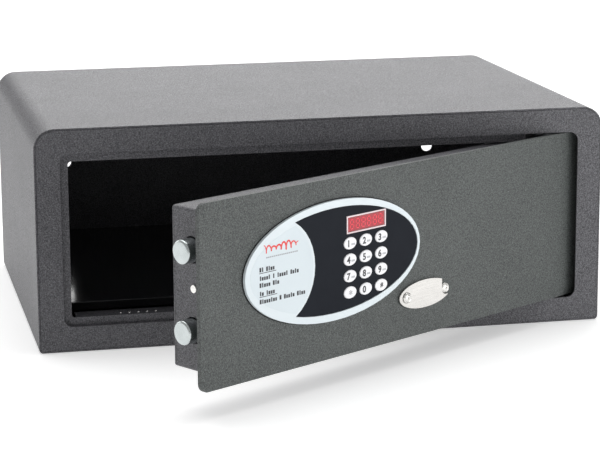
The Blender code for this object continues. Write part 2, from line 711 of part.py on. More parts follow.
def make_label_panel():
    front = -BEZEL_PROUD - GAP - LABEL_THICKNESS
    label = pad_outline(LABEL_MARGIN, True)
    return door_slab("label_panel", (label,), LABEL_THICKNESS, front, WHITE_PLASTIC)


def key_places():
    for row, names in enumerate(KEY_NAMES):
        for column, name in enumerate(names):
            yield name, KEY_ACROSS + (column - 1) * KEY_PITCH_X, KEY_TOP_ROW - row * KEY_PITCH_Z


def display_outline(margin):
    half_x, half_z = DISPLAY_SIZE[0] / 2 - margin, DISPLAY_SIZE[1] / 2 - margin
    left, right = DISPLAY_ACROSS - half_x, DISPLAY_ACROSS + half_x
    return rectangle(left, right, DISPLAY_HEIGHT - half_z, DISPLAY_HEIGHT + half_z)


def make_keypad_panel():
    holes = [oval((KEY_HALF[0] + GAP, KEY_HALF[1] + GAP), (x, z), 20) for _, x, z in key_places()]
    outlines = (pad_outline(GAP / 2, False), display_outline(-GAP), *holes)
    return door_slab("keypad_panel", outlines, PANEL_PROUD - GAP, -PANEL_PROUD, PANEL_FILM)


def make_display():
    rim = (display_outline(0), display_outline(DISPLAY_RIM))
    door_slab("display_frame", rim, 0.0016, -PANEL_PROUD - 0.0004, WHITE_PLASTIC)
    door_slab("display_window", (display_outline(DISPLAY_RIM + GAP),), 0.0012, -PANEL_PROUD, RED_LENS)
    module = block((0.042, 0.0048, 0.0115))
    door_piece("display_module", module, BLACK_PLASTIC, DISPLAY_ACROSS, 0.0018, DISPLAY_HEIGHT)


def make_key(name, across, height):
    """A cap through the panel, a flange behind it, and a stem that presses the board's switch."""
    front, panel_back = -PANEL_PROUD - 0.0009, 0.0002
    cap = slab((oval(KEY_HALF, steps=20),), panel_back - front, (front + panel_back) / 2)
    key = door_piece(f"key_{name}", cap, WHITE_PLASTIC, across, 0, height)
    flange_half = [half + 0.0009 for half in KEY_HALF]
    flange = slab((oval(flange_half, steps=20),), 0.0008, panel_back + 0.0003)
    join(key, flange, rod(0.002, panel_back, 0.0038, "Y", 10))
    return smooth(key, 50)


def make_circuit_board():
    outline = rectangle(0.1535, 0.2145, 0.0665, 0.1495, (0.002,) * 4, 2)
    return door_slab("circuit_board", (outline,), 0.0016, PLATE_THICKNESS + 0.0009, BOARD_GREEN)


# The key override

def make_override_cover():
    """An oval plate that turns on its left screw; the notch at its other end clears the right screw."""
    reach = COVER_ACROSS - PIVOT_ACROSS
    tip = TIP_ACROSS - PIVOT_ACROSS
    outlines = (oval(COVER_HALF, (reach, 0), 48), oval((0.0027,) * 2, (0, 0), 16))
    cover = door_piece(
        "override_cover", slab(outlines, 0.0016, -0.0012), BRIGHT_STEEL, PIVOT_ACROSS, 0, COVER_HEIGHT
    )
    notch = slab((rectangle(tip - 0.0052, tip + 0.012, -0.0052, 0.02, (0.005, 0, 0, 0), 6),), 0.008)
    return smooth(round_edges(cut(cover, notch), 0.0005))


def make_cover_screw(name, across, head_back):
    screw = door_piece(
        name, rod(0.0048, head_back - 0.0016, head_back, "Y", 24), BRIGHT_STEEL, across, 0, COVER_HEIGHT
    )
    return smooth(join(screw, rod(0.0022, head_back - 0.0008, 0.008, "Y", 12)))


def make_lock():
    body = door_piece(
        "lock_body", rod(LOCK_RADIUS, GAP, LOCK_LENGTH, "Y", 32), ZINC, LOCK_ACROSS, 0, COVER_HEIGHT
    )
    smooth(cut(body, rod(PLUG_RADIUS + 0.00015, -0.01, 0.04, "Y", 32)))
    nut = door_piece("lock_nut", rod(0.0125, 0.0045, 0.0085, "Y", 6), ZINC, LOCK_ACROSS, 0, COVER_HEIGHT)
    cut(nut, rod(LOCK_RADIUS + GAP, -0.01, 0.02, "Y", 32))
    barrel = rod(PLUG_RADIUS, GAP, LOCK_LENGTH + 0.0045, "Y", 32)
    plug = door_piece("lock_plug", barrel, BRASS, LOCK_ACROSS, 0, COVER_HEIGHT)
    smooth(cut(plug, block((0.0012, 0.036, 0.007))))
    cam_middle = LOCK_LENGTH + 0.0015
    outlines = (
        rectangle(-0.0065, 0.0065, -0.0065, 0.026, (0.0064, 0.0064, 0.004, 0.004), 4),
        oval((PLUG_RADIUS + GAP,) * 2, steps=32),
    )
    door_piece("lock_cam", slab(outlines, 0.002, cam_middle), ZINC, LOCK_ACROSS, 0, COVER_HEIGHT)


# The battery compartment and the reset button

def make_battery_pack():
    half = BATTERY_LENGTH / 2
    outer = [side - GAP for side in POCKET_HALF]
    depth = 2 * BATTERY_RADIUS + 0.0035
    wall = 0.0015
    holder = door_piece(
        "battery_holder",
        block((2 * outer[0], depth, 2 * outer[1])),
        BLACK_PLASTIC,
        BATTERY_ACROSS,
        COVER_REAR - depth / 2 - GAP,
        BATTERY_HEIGHT,
    )
    cut(holder, block((2 * (outer[0] - wall), depth, 2 * (outer[1] - wall)), (0, wall, 0)))
    rows = [(row - 1.5) * BATTERY_PITCH for row in range(4)]
    middle = COVER_REAR - GAP - BATTERY_RADIUS - 0.0008
    first = rod(BATTERY_RADIUS, -half + 0.0015, half - 0.0015, "X", 20, (0, 0, rows[0]))
    pack = door_piece("battery_pack", first, BATTERY_SLEEVE, BATTERY_ACROSS, middle, BATTERY_HEIGHT)
    cells = [rod(BATTERY_RADIUS, -half + 0.0015, half - 0.0015, "X", 20, (0, 0, z)) for z in rows[1:]]
    caps = [
        rod(0.0027, *sorted((side * (half - 0.002), side * (half - 0.0003))), "X", 12, (0, 0, z))
        for side, z in zip((1, -1, 1, -1), rows)
    ]
    smooth(join(pack, *cells, *caps))


def make_battery_cover():
    half_x, half_z = (side + 0.005 for side in POCKET_HALF)
    outline = rectangle(-half_x, half_x, -half_z, half_z, (0.003,) * 4, 4)
    start = COVER_REAR + GAP
    lid = slab((outline,), 0.0016, 0.0008)
    cover = door_piece("battery_cover", lid, BLACK_PLASTIC, BATTERY_ACROSS, start, BATTERY_HEIGHT)
    ribs = [block((0.0012, 0.0012, 0.022), (-half_x + 0.008 + 0.003 * n, 0.0018, 0)) for n in range(4)]
    return join(cover, *ribs)


def make_reset_button():
    cap = rod(0.004, -0.002, COVER_THICKNESS + 0.003, "Y", 20)
    start = BOX_REAR + GAP
    button = door_piece("reset_button", cap, RED_PLASTIC, RESET_ACROSS, start, RESET_HEIGHT)
    return smooth(join(button, rod(0.0058, -0.002 - GAP, -0.0008, "Y", 20)))


def main():
    make_casing()
    make_rear_panel()
    make_front_frame()
    make_door_stop()
    make_floor_tray()
    for end in (1, -1):
        make_hinge(end)
    make_door_plate()
    make_door_box()
    make_side_screw()
    make_rear_cover()
    for end in (1, -1):
        make_door_hinge(end)
        make_hinge_bush(end)
    make_bolt_guide()
    make_bolts()
    for word, side in (("upper", 1), ("lower", -1)):
        make_bolt_screw(word, side)
    make_bolt_carrier()
    make_drive_gear()
    make_motor_pinion()
    make_motor_bracket()
    make_lock_motor()
    make_post("gear_post", GEAR_ACROSS, GEAR_HEIGHT, POST_RADIUS)
    make_post("guide_post", GUIDE_ACROSS, BOLT_MIDDLE + GUIDE_HEIGHT, GUIDE_RADIUS)
    make_keypad_bezel()
    make_label_panel()
    make_keypad_panel()
    make_display()
    for name, across, height in key_places():
        make_key(name, across, height)
    make_circuit_board()
    make_override_cover()
    make_cover_screw("cover_pivot_screw", PIVOT_ACROSS, -0.0023)
    make_cover_screw("cover_lock_screw", TIP_ACROSS, -GAP)
    make_lock()
    make_battery_pack()
    make_battery_cover()
    make_reset_button()


main()
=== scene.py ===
"""An in-room safe: a folded steel cabinet standing open by a third of a right angle, with its
door, keypad, motor-driven bolts and key override."""

import json
import math

import bmesh
import bpy
from mathutils import Matrix, Vector


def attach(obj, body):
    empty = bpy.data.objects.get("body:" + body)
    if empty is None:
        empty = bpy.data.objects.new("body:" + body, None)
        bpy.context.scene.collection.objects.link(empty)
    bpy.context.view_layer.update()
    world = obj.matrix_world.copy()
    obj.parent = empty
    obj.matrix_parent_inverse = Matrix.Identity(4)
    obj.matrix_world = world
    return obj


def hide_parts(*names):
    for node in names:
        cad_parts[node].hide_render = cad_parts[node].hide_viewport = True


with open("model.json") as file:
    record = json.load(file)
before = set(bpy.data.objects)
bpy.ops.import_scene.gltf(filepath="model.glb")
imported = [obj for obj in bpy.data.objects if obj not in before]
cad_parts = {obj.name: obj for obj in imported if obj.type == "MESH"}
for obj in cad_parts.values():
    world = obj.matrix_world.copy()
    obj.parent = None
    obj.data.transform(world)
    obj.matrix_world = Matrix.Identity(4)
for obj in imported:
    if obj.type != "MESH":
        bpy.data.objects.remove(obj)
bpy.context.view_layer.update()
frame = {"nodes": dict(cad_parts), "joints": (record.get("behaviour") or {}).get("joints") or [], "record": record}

# ---------------------------------------------------------------------------------------
# The room: a pale matt floor that runs out of sight, and the soft light of a studio, from
# wide softboxes overhead and behind, and weaker ones on both sides and low on the right.
# ---------------------------------------------------------------------------------------


def add_node(tree, kind, values=None, **settings):
    """A node with its settings; each value is a number, a colour or the socket it comes from."""
    made = tree.nodes.new(kind)
    for name, setting in settings.items():
        setattr(made, name, setting)
    for socket, value in (values or {}).items():
        if isinstance(value, bpy.types.NodeSocket):
            tree.links.new(value, made.inputs[socket])
        else:
            made.inputs[socket].default_value = value
    return made


def plane_mesh(name, half):
    mesh = bpy.data.meshes.new(name)
    corners = [(-half, -half, 0), (half, -half, 0), (half, half, 0), (-half, half, 0)]
    mesh.from_pydata(corners, [], [(0, 1, 2, 3)])
    return mesh


floor = bpy.data.objects.new("studio_floor", plane_mesh("studio_floor", 12.0))
floor.location.z = -0.0004
bpy.context.scene.collection.objects.link(floor)
pale = bpy.data.materials.new("pale_floor")
pale.use_nodes = True
shader = pale.node_tree.nodes["Principled BSDF"]
shader.inputs["Base Color"].default_value = (0.93, 0.93, 0.93, 1)
shader.inputs["Roughness"].default_value = 0.9
shader.inputs["Specular IOR Level"].default_value = 0.1
shader.inputs["Emission Color"].default_value = (1, 1, 1, 1)
shader.inputs["Emission Strength"].default_value = 0.35
floor.data.materials.append(pale)

world = bpy.data.worlds.new("studio")
bpy.context.scene.world = world
world.use_nodes = True
tree = world.node_tree
tree.nodes.clear()
path = add_node(tree, "ShaderNodeLightPath")
unseen = add_node(tree, "ShaderNodeBackground", {"Color": (1, 1, 1, 1), "Strength": 0.5})
seen = add_node(tree, "ShaderNodeBackground", {"Color": (1, 1, 1, 1), "Strength": 1.0})
mixed = add_node(
    tree,
    "ShaderNodeMixShader",
    {0: path.outputs["Is Camera Ray"], 1: unseen.outputs[0], 2: seen.outputs[0]},
)
add_node(tree, "ShaderNodeOutputWorld", {"Surface": mixed.outputs[0]})


def softbox(name, place, target, size, power):
    light = bpy.data.lights.new(name, "AREA")
    light.shape, light.size, light.size_y, light.energy = "RECTANGLE", size[0], size[1], power
    lamp = bpy.data.objects.new(name, light)
    lamp.location = place
    lamp.rotation_euler = (Vector(target) - Vector(place)).to_track_quat("-Z", "Y").to_euler()
    bpy.context.scene.collection.objects.link(lamp)


softbox("overhead_softbox", (0.0, 0.3, 1.7), (0, 0, 0.1), (2.2, 1.6), 22)
softbox("rear_softbox", (0.88, 2.7, 0.95), (0.35, 0, 0.2), (2.8, 1.7), 29)
softbox("right_softbox", (1.7, -1.3, 0.7), (0.1, -0.2, 0.1), (0.9, 1.4), 4.5)
softbox("low_right_softbox", (0.7, -0.95, 0.16), (0.02, -0.27, 0.05), (0.8, 0.25), 2.4)
softbox("left_softbox", (-1.9, 1.2, 0.7), (-0.2, 0, 0.1), (1.3, 1.0), 6)

camera_data = bpy.data.cameras.new("camera")
camera_data.sensor_width, camera_data.lens = 36.0, 133.85
camera_data.clip_start, camera_data.clip_end = 0.1, 60
camera = bpy.data.objects.new("camera", camera_data)
yaw, pitch, roll = (math.radians(angle) for angle in (12.37, -12.23, -0.337))
ahead = Vector((math.sin(yaw) * math.cos(pitch), math.cos(yaw) * math.cos(pitch), math.sin(pitch)))
level = Vector((math.cos(yaw), -math.sin(yaw), 0))
upright = level.cross(ahead)
sideways = math.cos(roll) * level + math.sin(roll) * upright
overhead = math.cos(roll) * upright - math.sin(roll) * level
turned = Matrix((sideways, overhead, -ahead)).transposed().to_4x4()
camera.matrix_world = Matrix.Translation((-0.4406, -2.0796, 0.5261)) @ turned
bpy.context.scene.collection.objects.link(camera)
bpy.context.scene.camera = camera
bpy.context.scene.view_settings.view_transform = "Standard"

# ---------------------------------------------------------------------------------------
# The cabinet's casing and rear panel: 1.5 mm sheet folded into a sleeve with rounded upper
# corners, spot-welded to its rear panel, and stoved in a finely textured dark grey powder
# coat, into whose colour sparse bright specks are painted as glints of light on its grains.
# ---------------------------------------------------------------------------------------


def new_group(name, values, results):
    """An empty shader group with named inputs (numbers) and outputs; gives its tree and both ends."""
    tree = bpy.data.node_groups.new(name, "ShaderNodeTree")
    for label, start in values.items():
        socket = tree.interface.new_socket(label, in_out="INPUT", socket_type="NodeSocketFloat")
        socket.default_value = start
    for label in results:
        tree.interface.new_socket(label, in_out="OUTPUT", socket_type="NodeSocketFloat")
    return tree, tree.nodes.new("NodeGroupInput").outputs, tree.nodes.new("NodeGroupOutput").inputs


def math_node(tree, operation, *values, clamp=False):
    return add_node(
        tree, "ShaderNodeMath", dict(enumerate(values)), operation=operation, use_clamp=clamp
    ).outputs[0]


def per_size(tree, size):
    """The texture scale that gives features of this size, which is in millimetres."""
    return math_node(tree, "DIVIDE", 1000.0, size)


def noise(tree, vector, scale, detail=2.0, roughness=0.5):
    return add_node(
        tree,
        "ShaderNodeTexNoise",
        {"Vector": vector, "Scale": scale, "Detail": detail, "Roughness": roughness},
    ).outputs["Fac"]


def stretch(tree, value, low, high, to_low=0.0, to_high=1.0):
    return add_node(
        tree,
        "ShaderNodeMapRange",
        {"Value": value, "From Min": low, "From Max": high, "To Min": to_low, "To Max": to_high},
    ).outputs[0]


def object_place(tree):
    """Object coordinates, turned so that no flat face lies along the noise's own grid."""
    place = add_node(tree, "ShaderNodeTexCoord").outputs["Object"]
    return add_node(tree, "ShaderNodeMapping", {"Vector": place, "Rotation": (0.61, 0.37, 0.83)}).outputs[0]


def make_powder_coat_group():
    tree, given, out = new_group(
        "powder_coat", {"Grain Size": 1.5, "Clouding": 0.25}, ("Shade", "Height")
    )
    place = object_place(tree)
    scale = per_size(tree, given["Grain Size"])
    beads = noise(tree, place, scale, 1.0, 0.4)
    fine = noise(tree, place, math_node(tree, "MULTIPLY", scale, 2.3), 1.0, 0.5)
    both = math_node(tree, "MULTIPLY_ADD", fine, 0.4, math_node(tree, "MULTIPLY", beads, 0.6))
    cloud = noise(tree, place, 14.0, 3.0, 0.6)
    drift = math_node(tree, "MULTIPLY", math_node(tree, "SUBTRACT", cloud, 0.5), given["Clouding"])
    speckle = stretch(tree, both, 0.36, 0.66, 0.0, 0.72)
    # Painted highlights: sparse bright specks added to the coat's colour as glints of light on its grains.
    painted_glint_noise = noise(tree, place, math_node(tree, "MULTIPLY", scale, 1.6), 0.0, 0.5)
    painted_glints = stretch(tree, painted_glint_noise, 0.66, 0.74)
    drawn = math_node(tree, "ADD", speckle, drift)
    tree.links.new(math_node(tree, "ADD", drawn, painted_glints, clamp=True), out["Shade"])
    tree.links.new(stretch(tree, both, 0.3, 0.7), out["Height"])
    return tree


def coated(name, group, settings, dark, light, roughness, relief, metallic=0.0, **plain):
    """A material whose colour, roughness and relief all follow one group's Shade and Height."""
    material = bpy.data.materials.new(name)
    material.use_nodes = True
    tree = material.node_tree
    shader = tree.nodes["Principled BSDF"]
    texture = add_node(tree, "ShaderNodeGroup", node_tree=group)
    for label, value in settings.items():
        texture.inputs[label].default_value = value
    shade = texture.outputs["Shade"]
    colour = add_node(tree, "ShaderNodeMix", {0: shade, 6: (*dark, 1), 7: (*light, 1)}, data_type="RGBA")
    tree.links.new(colour.outputs[2], shader.inputs["Base Color"])
    tree.links.new(stretch(tree, shade, 0.0, 1.0, *roughness), shader.inputs["Roughness"])
    bump = add_node(tree, "ShaderNodeBump", {"Height": texture.outputs["Height"], "Distance": relief})
    tree.links.new(bump.outputs[0], shader.inputs["Normal"])
    shader.inputs["Metallic"].default_value = metallic
    for label, value in plain.items():
        shader.inputs[label.replace("_", " ")].default_value = value
    return material


powder_coat = make_powder_coat_group()
cabinet_paint = coated(
    "cabinet_powder_coat",
    powder_coat,
    {"Grain Size": 1.2, "Clouding": 0.2},
    (0.021, 0.021, 0.025),
    (0.160, 0.158, 0.173),
    (0.52, 0.38),
    0.0003,
)

body_of = {node: body for body, nodes in frame["record"]["behaviour"]["bodies"].items() for node in nodes}
slot_of = {entry["node"]: entry["material_slot"] for entry in frame["record"]["subparts"]}


def settle(piece, body, slot, *replaced):
    """Links a finished piece, makes it ride on its body and hides the CAD parts that it replaces."""
    if piece.name not in bpy.context.scene.collection.objects:
        bpy.context.scene.collection.objects.link(piece)
    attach(piece, body)
    if replaced:
        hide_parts(*replaced)
    return piece


def worked_out(piece):
    """A mesh of the piece as its modifiers leave it."""
    bpy.context.view_layer.update()
    graph = bpy.context.evaluated_depsgraph_get()
    return bpy.data.meshes.new_from_object(
        piece.evaluated_get(graph), preserve_all_data_layers=True, depsgraph=graph
    )


def broken_edges(node, material, edge=0.0003, steps=2):
    """The piece with its CAD shape, its sharp edges broken by a small radius and shaded as metal is."""
    mesh = frame["nodes"][node].data.copy()
    shape = bmesh.new()
    shape.from_mesh(mesh)
    bmesh.ops.remove_doubles(shape, verts=shape.verts, dist=0.000002)
    bmesh.ops.dissolve_limit(
        shape, angle_limit=math.radians(0.6), verts=shape.verts, edges=shape.edges
    )
    for face in shape.faces:
        face.smooth = True
    shape.to_mesh(mesh)
    shape.free()
    mesh.materials.clear()
    mesh.materials.append(material)
    for polygon in mesh.polygons:
        polygon.material_index = 0
    rough = bpy.data.objects.new(node + "_rough", mesh)
    bpy.context.scene.collection.objects.link(rough)
    bevel = rough.modifiers.new("edges", "BEVEL")
    bevel.width, bevel.segments, bevel.angle_limit = edge, steps, math.radians(32)
    bevel.limit_method, bevel.use_clamp_overlap = "ANGLE", True
    weigh = rough.modifiers.new("flats", "WEIGHTED_NORMAL")
    weigh.keep_sharp = True
    finished = worked_out(rough)
    bpy.data.objects.remove(rough)
    piece = bpy.data.objects.new(node + "_finished", finished)
    return settle(piece, body_of[node], slot_of[node], node)


broken_edges("casing", cabinet_paint, 0.0005)
broken_edges("rear_panel", cabinet_paint, 0.0004)

# ---------------------------------------------------------------------------------------
# The front frame and the door stop: a flat frame let into the sleeve, and behind its
# opening a folded channel that the door closes against, held along its lower flange by a
# short row of bright rivets.
# ---------------------------------------------------------------------------------------


def turned_shape(profile, steps=32, halves=(0.0, 0.0), axis="Y"):
    """A bmesh turned about an axis. The profile lists (radius, distance along the axis).

    The halves are added to the radius across and upward, which makes the shape oval.
    """
    shape = bmesh.new()
    lathe = shape.verts.layers.float.new("turning")
    rings = []
    for radius, along in profile:
        if radius <= 0 and halves == (0.0, 0.0):
            pole = shape.verts.new((0, along, 0))
            rings.append([pole] * steps)
            continue
        ring = []
        for step in range(steps):
            angle = 2 * math.pi * step / steps
            x, z = (halves[0] + radius) * math.cos(angle), (halves[1] + radius) * math.sin(angle)
            vertex = shape.verts.new((x, along, z))
            vertex[lathe] = max(radius, 0.0)
            ring.append(vertex)
        rings.append(ring)
    for first, second in zip(rings, rings[1:]):
        for step in range(steps):
            after = (step + 1) % steps
            corners = dict.fromkeys((first[step], first[after], second[after], second[step]))
            if len(corners) > 2:
                shape.faces.new(list(corners))
    for ring in (rings[0], rings[-1]):
        if len(set(ring)) > 1:
            shape.faces.new(ring)
    bmesh.ops.recalc_face_normals(shape, faces=shape.faces)
    for face in shape.faces:
        face.smooth = True
    if axis != "Y":
        bmesh.ops.rotate(shape, matrix=Matrix.Rotation(math.radians(-90), 3, "Z"), verts=shape.verts)
    return shape


def as_mesh(shape, name, material, sharp=40.0):
    mesh = bpy.data.meshes.new(name)
    shape.to_mesh(mesh)
    shape.free()
    mesh.materials.append(material)
    mesh.set_sharp_from_angle(angle=math.radians(sharp))
    return mesh


def make_hairline_group():
    tree, given, out = new_group(
        "hairlines", {"Line Width": 0.25, "Line Length": 12.0, "Wear": 0.3}, ("Shade", "Height")
    )
    place = add_node(tree, "ShaderNodeTexCoord").outputs["Object"]
    across, along = per_size(tree, given["Line Width"]), per_size(tree, given["Line Length"])
    scales = add_node(tree, "ShaderNodeCombineXYZ", {0: along, 1: along, 2: across}).outputs[0]
    drawn = add_node(tree, "ShaderNodeVectorMath", {0: place, 1: scales}, operation="MULTIPLY").outputs[0]
    lines = noise(tree, drawn, 1.0, 2.0, 0.6)
    patches = stretch(tree, noise(tree, place, 120.0, 3.0, 0.6), 0.42, 0.66)
    worn = math_node(tree, "MULTIPLY", patches, given["Wear"])
    tree.links.new(
        math_node(tree, "SUBTRACT", stretch(tree, lines, 0.3, 0.7), worn, clamp=True), out["Shade"]
    )
    tree.links.new(lines, out["Height"])
    return tree


hairlines = make_hairline_group()
bright_steel = coated(
    "polished_steel",
    hairlines,
    {"Line Width": 0.3, "Line Length": 14.0, "Wear": 0.2},
    (0.66, 0.65, 0.63),
    (0.88, 0.87, 0.84),
    (0.24, 0.13),
    0.00001,
    metallic=1.0,
)


def new_copies_tree(name, inputs=()):
    """An empty Geometry Nodes tree that takes points, these inputs and a material."""
    tree = bpy.data.node_groups.new(name, "GeometryNodeTree")
    for label, kind in (("Places", "Geometry"), *inputs, ("Material", "Material")):
        tree.interface.new_socket(label, in_out="INPUT", socket_type=f"NodeSocket{kind}")
    tree.interface.new_socket("Pieces", in_out="OUTPUT", socket_type="NodeSocketGeometry")
    return tree, tree.nodes.new("NodeGroupInput").outputs


def point_value(tree, label, kind="FLOAT"):
    """The value that each point carries under this name."""
    return add_node(tree, "GeometryNodeInputNamedAttribute", {"Name": label}, data_type=kind).outputs[0]


def copy_to_places(tree, given, one, **placing):
    """Sets one copy on each point, makes the copies real and gives them the tree's material."""
    placed = add_node(
        tree, "GeometryNodeInstanceOnPoints", {"Points": given["Places"], "Instance": one, **placing}
    )
    real = add_node(tree, "GeometryNodeRealizeInstances", {0: placed.outputs[0]})
    values = {"Geometry": real.outputs[0], "Material": given["Material"]}
    finished = add_node(tree, "GeometryNodeSetMaterial", values)
    add_node(tree, "NodeGroupOutput", {0: finished.outputs[0]})


def make_fastener_tree():
    """One fastener on each point, its head turned the way that the point faces."""
    tree, given = new_copies_tree("fasteners", [("Fastener", "Object")])
    one = add_node(tree, "GeometryNodeObjectInfo", {"Object": given["Fastener"]}).outputs["Geometry"]
    facing = point_value(tree, "facing", "FLOAT_VECTOR")
    turn = add_node(tree, "FunctionNodeAlignRotationToVector", {"Vector": facing}, axis="Y").outputs[0]
    copy_to_places(tree, given, one, Rotation=turn)
    return tree


fasteners = make_fastener_tree()


def grown(name, tree, places, values, attributes=()):
    """A plain mesh from a Geometry Nodes tree: places are its points, attributes their own values."""
    mesh = bpy.data.meshes.new(name)
    mesh.from_pydata([tuple(place) for place in places], [], [])
    for label, kind, entries in attributes:
        layer = mesh.attributes.new(label, kind, "POINT")
        if kind == "FLOAT_VECTOR":
            layer.data.foreach_set("vector", [number for entry in entries for number in entry])
        else:
            layer.data.foreach_set("value", entries)
    holder = bpy.data.objects.new(name, mesh)
    bpy.context.scene.collection.objects.link(holder)
    modifier = holder.modifiers.new("pieces", "NODES")
    modifier.node_group = tree
    sockets = {item.name: item.identifier for item in tree.interface.items_tree if item.in_out == "INPUT"}
    for label, value in values.items():
        modifier[sockets[label]] = value
    finished = worked_out(holder)
    holder.modifiers.remove(modifier)
    holder.data = finished
    finished.name = name
    return holder


def pattern_piece(shape, name, material):
    """A shape kept out of sight, which Geometry Nodes copies."""
    return bpy.data.objects.new(name, as_mesh(shape, name, material))


broken_edges("front_frame", cabinet_paint, 0.0007, 3)
broken_edges("door_stop", cabinet_paint, 0.0003)

RIVET_PROFILE = ((0.0, 0.0008), (0.0006, 0.00072), (0.0011, 0.00048), (0.0014, 0.0001), (0.0014, -0.0006))
rivet = pattern_piece(turned_shape(RIVET_PROFILE, 20), "rivet_pattern", bright_steel)
RIVET_COUNT, RIVET_PITCH = 5, 0.0079
first_rivet = Vector((-0.1845, -0.165, 0.0299))
rivets = grown(
    "stop_rivets",
    fasteners,
    [first_rivet + Vector((RIVET_PITCH * n, 0, 0)) for n in range(RIVET_COUNT)],
    {"Fastener": rivet, "Material": bright_steel},
    [("facing", "FLOAT_VECTOR", [(0, 0, 1)] * RIVET_COUNT)],
)
settle(rivets, "cabinet", "bright_steel")

# ---------------------------------------------------------------------------------------
# The raised floor: a folded tray of thin sheet in smooth gloss black, which mirrors the
# daylight that reaches it and shows a little dust.
# ---------------------------------------------------------------------------------------


def make_dust_group():
    tree, given, out = new_group("settled_dust", {"Speck Size": 0.6, "Amount": 0.3}, ("Shade", "Height"))
    place = object_place(tree)
    specks = noise(tree, place, per_size(tree, given["Speck Size"]), 2.0, 0.6)
    film = noise(tree, place, 18.0, 4.0, 0.6)
    spread = math_node(tree, "MULTIPLY", stretch(tree, film, 0.35, 0.8), given["Amount"])
    bright = stretch(tree, specks, 0.55, 0.8)
    shade = math_node(tree, "MULTIPLY_ADD", bright, given["Amount"], spread, clamp=True)
    tree.links.new(shade, out["Shade"])
    tree.links.new(noise(tree, place, 260.0, 1.0, 0.4), out["Height"])
    return tree


dust = make_dust_group()
tray_paint = coated(
    "gloss_black_paint",
    dust,
    {"Speck Size": 0.7, "Amount": 0.25},
    (0.006, 0.006, 0.007),
    (0.05, 0.05, 0.052),
    (0.09, 0.35),
    0.00002,
    Coat_Weight=0.5,
    Coat_Roughness=0.14,
)
broken_edges("floor_tray", tray_paint, 0.0004, 3)

# ---------------------------------------------------------------------------------------
# The hinge: zinc-plated brackets welded behind the frame, each with a headed pin that
# turns in a flanged nylon bush in the door's lug.
# ---------------------------------------------------------------------------------------


def make_plating_group():
    tree, given, out = new_group("zinc_plating", {"Patch Size": 5.0, "Contrast": 0.7}, ("Shade", "Height"))
    place = object_place(tree)
    scale = per_size(tree, given["Patch Size"])
    patches = add_node(tree, "ShaderNodeTexVoronoi", {"Vector": place, "Scale": scale})
    grey = add_node(tree, "ShaderNodeSeparateColor", {0: patches.outputs["Color"]}).outputs[0]
    fine = noise(tree, place, 900.0, 3.0, 0.6)
    level = math_node(tree, "MULTIPLY", grey, given["Contrast"])
    tree.links.new(math_node(tree, "MULTIPLY_ADD", fine, 0.45, level, clamp=True), out["Shade"])
    tree.links.new(fine, out["Height"])
    return tree


plating = make_plating_group()
zinc = coated(
    "zinc_plate",
    plating,
    {"Patch Size": 4.0, "Contrast": 0.5},
    (0.36, 0.37, 0.40),
    (0.66, 0.67, 0.69),
    (0.46, 0.28),
    0.00002,
    metallic=1.0,
)


def make_grain_group():
    tree, given, out = new_group("moulded_grain", {"Grain Size": 0.5, "Scuffing": 0.2}, ("Shade", "Height"))
    place = object_place(tree)
    scale = per_size(tree, given["Grain Size"])
    cells = add_node(tree, "ShaderNodeTexVoronoi", {"Vector": place, "Scale": scale}).outputs["Distance"]
    soft = noise(tree, place, 45.0, 4.0, 0.6)
    scuffed = math_node(tree, "MULTIPLY", stretch(tree, soft, 0.4, 0.75), given["Scuffing"])
    tree.links.new(math_node(tree, "SUBTRACT", 1.0, scuffed, clamp=True), out["Shade"])
    tree.links.new(cells, out["Height"])
    return tree


moulded_grain = make_grain_group()
nylon = coated(
    "natural_nylon",
    moulded_grain,
    {"Grain Size": 0.8, "Scuffing": 0.5},
    (0.60, 0.57, 0.50),
    (0.82, 0.80, 0.74),
    (0.55, 0.42),
    0.00002,
)
for end in ("upper", "lower"):
    broken_edges(f"hinge_bracket_{end}", zinc, 0.0003)
    broken_edges(f"hinge_pin_{end}", bright_steel, 0.0003)
    broken_edges(f"hinge_lug_{end}", zinc, 0.0003)
    broken_edges(f"hinge_bush_{end}", nylon, 0.0002)

# ---------------------------------------------------------------------------------------
# The door: a 4 mm plate in grey-green textured powder coat with softly rounded edges, the
# cabinet-grey box welded behind it, and the box's rear cover on six cross-recess screws.
# ---------------------------------------------------------------------------------------

door_paint = coated(
    "door_powder_coat",
    powder_coat,
    {"Grain Size": 1.2, "Clouding": 0.22},
    (0.022, 0.026, 0.025),
    (0.128, 0.140, 0.136),
    (0.54, 0.42),
    0.0003,
)
broken_edges("door_plate", door_paint, 0.0009, 3)
broken_edges("door_box", cabinet_paint, 0.0004)
broken_edges("rear_cover", cabinet_paint, 0.0004)
broken_edges("side_screw", bright_steel, 0.0004, 3)

joints = {joint["name"]: joint for joint in frame["joints"]}
across = Vector(joints["bolt_slide"]["axis"])
inward = Vector(joints["key_5_press"]["axis"])
hinge = Vector(joints["door_swing"]["pos_m"]) * Vector((1, 1, 0))
door_place = Matrix((across, inward, Vector((0, 0, 1)))).transposed().to_4x4()
hinge_from_free_edge, hinge_from_face = 0.4487, 0.022
door_place.translation = hinge - hinge_from_free_edge * across - hinge_from_face * inward


def on_door(x, depth, height):
    """The place in the room that is this far from the plate's free edge, into the door and up."""
    return door_place @ Vector((x, depth, height))


PAN_HEAD_PROFILE = (
    (0.0, 0.0016),
    (0.0014, 0.00155),
    (0.0023, 0.0012),
    (0.0028, 0.0006),
    (0.0029, 0.0),
    (0.0029, -0.0002),
)


